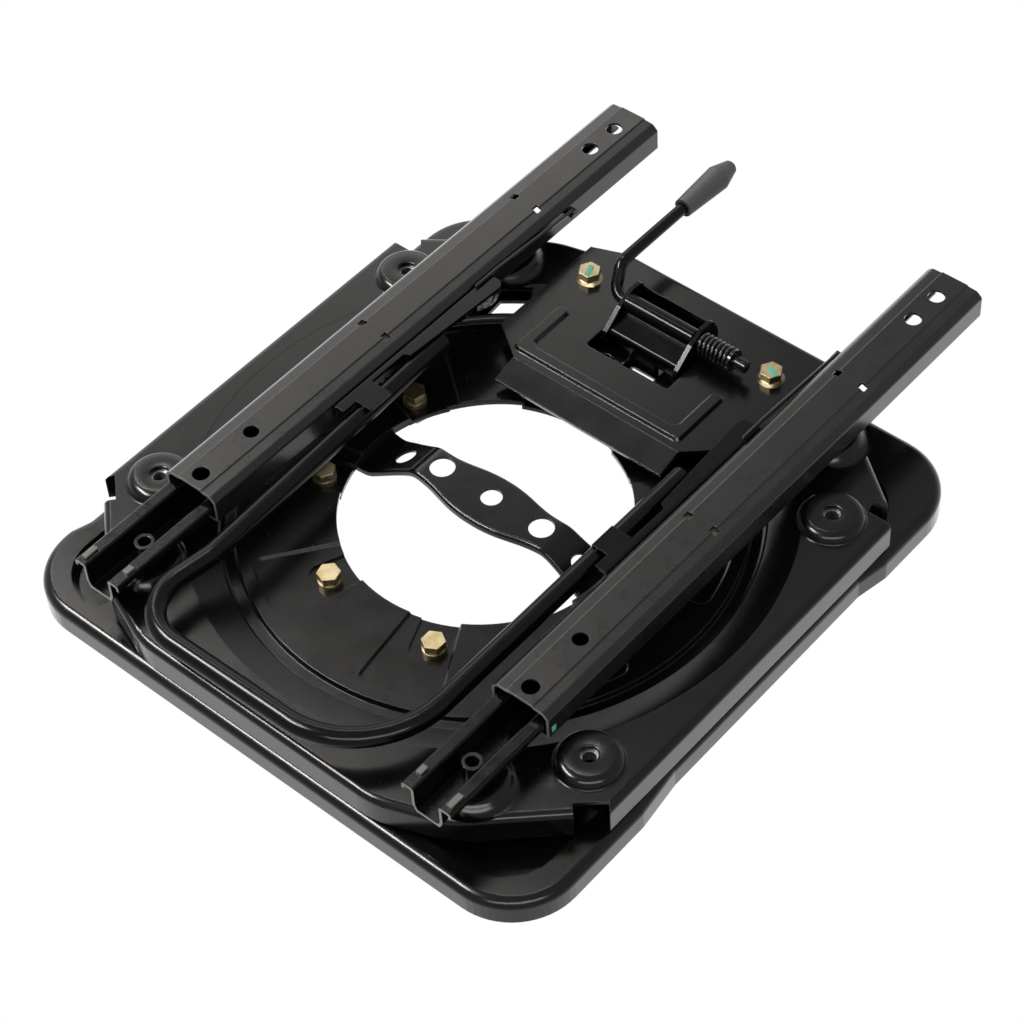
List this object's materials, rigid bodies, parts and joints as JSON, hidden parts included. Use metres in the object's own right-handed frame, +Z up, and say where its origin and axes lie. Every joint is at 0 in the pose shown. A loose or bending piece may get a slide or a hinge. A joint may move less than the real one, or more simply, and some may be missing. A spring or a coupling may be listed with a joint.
{
  "type": "swivel seat base",
  "caption": "Pressed swivel base for a vehicle seat, with sliding seat rails, a front release bar and a rear swivel lock lever.",
  "frame": {"origin": "on the swivel axis at the level of the fixing feet", "axes": "+Z up along the swivel axis, -Y towards the release bar at the front, +X to the right seen from the rear"},
  "size_m": [0.407, 0.5146, 0.0787],
  "materials": {
    "black_paint": "satin black powder coat",
    "rail_paint": "greased black coat",
    "yellow_zinc": "yellow zinc plate",
    "dark_zinc": "zinc plate",
    "bright_steel": "ground",
    "black_wire": "phosphated and oiled",
    "nylon": "natural",
    "grey_rubber": "matt"
  },
  "bodies": {
    "base": {"base_plate": "black_paint", "upper_slide_ring": "nylon", "lower_slide_ring": "nylon"},
    "swivel": {"swivel_plate": "black_paint", "clamp_ring": "black_paint", "ring_bolts": "yellow_zinc", "ring_washers": "yellow_zinc", "ring_nuts": "dark_zinc", "opening_strap": "black_paint", "boss_weld_nuts": "dark_zinc", "lock_panel": "black_paint", "lock_panel_bolts": "yellow_zinc", "lock_panel_nuts": "dark_zinc", "panel_rivet": "black_paint", "lock_bracket": "black_paint", "left_lower_rail": "rail_paint", "right_lower_rail": "rail_paint", "rail_rivet_nuts": "black_paint"},
    "seat_rails": {"left_upper_rail": "black_paint", "right_upper_rail": "black_paint", "left_lever_pin": "bright_steel", "right_lever_pin": "bright_steel", "left_lever_spring": "black_wire", "right_lever_spring": "black_wire"},
    "left_cage": {"left_roller_cage": "nylon", "left_rail_rollers": "bright_steel", "left_rail_balls": "bright_steel"},
    "right_cage": {"right_roller_cage": "nylon", "right_rail_rollers": "bright_steel", "right_rail_balls": "bright_steel"},
    "release": {"release_bar": "black_paint", "left_rail_lever": "black_paint", "right_rail_lever": "black_paint"},
    "lock": {"lock_lever": "black_paint", "lever_grip": "grey_rubber", "lock_latch": "black_paint", "lock_spring": "black_wire", "spring_washer": "black_wire"}
  },
  "joints": [
    {"name": "swivel_turn", "type": "hinge", "parent": "base", "child": "swivel", "pos_m": [0, 0, 0], "axis": [0, 0, 1], "continuous": true},
    {"name": "seat_slide", "type": "slide", "parent": "swivel", "child": "seat_rails", "axis": [0, 1, 0], "range_m": [-0.19, 0.01]},
    {"name": "left_cage_slide", "type": "slide", "parent": "swivel", "child": "left_cage", "axis": [0, 1, 0], "range_m": [-0.096, 0.006]},
    {"name": "right_cage_slide", "type": "slide", "parent": "swivel", "child": "right_cage", "axis": [0, 1, 0], "range_m": [-0.096, 0.006]},
    {"name": "release_lift", "type": "hinge", "parent": "seat_rails", "child": "release", "pos_m": [0, 0.1, 0.06], "axis": [1, 0, 0], "range_deg": [-6, 0], "stiffness_Nm_per_rad": 4, "springref_deg": 11.46},
    {"name": "lock_turn", "type": "hinge", "parent": "swivel", "child": "lock", "pos_m": [0, 0.171, 0.055], "axis": [1, 0, 0], "range_deg": [-13, 10], "stiffness_Nm_per_rad": 6}
  ],
  "couplings": [
    {"joint": "left_cage_slide", "follows": "seat_slide", "ratio": 0.5},
    {"joint": "right_cage_slide", "follows": "seat_slide", "ratio": 0.5}
  ]
}
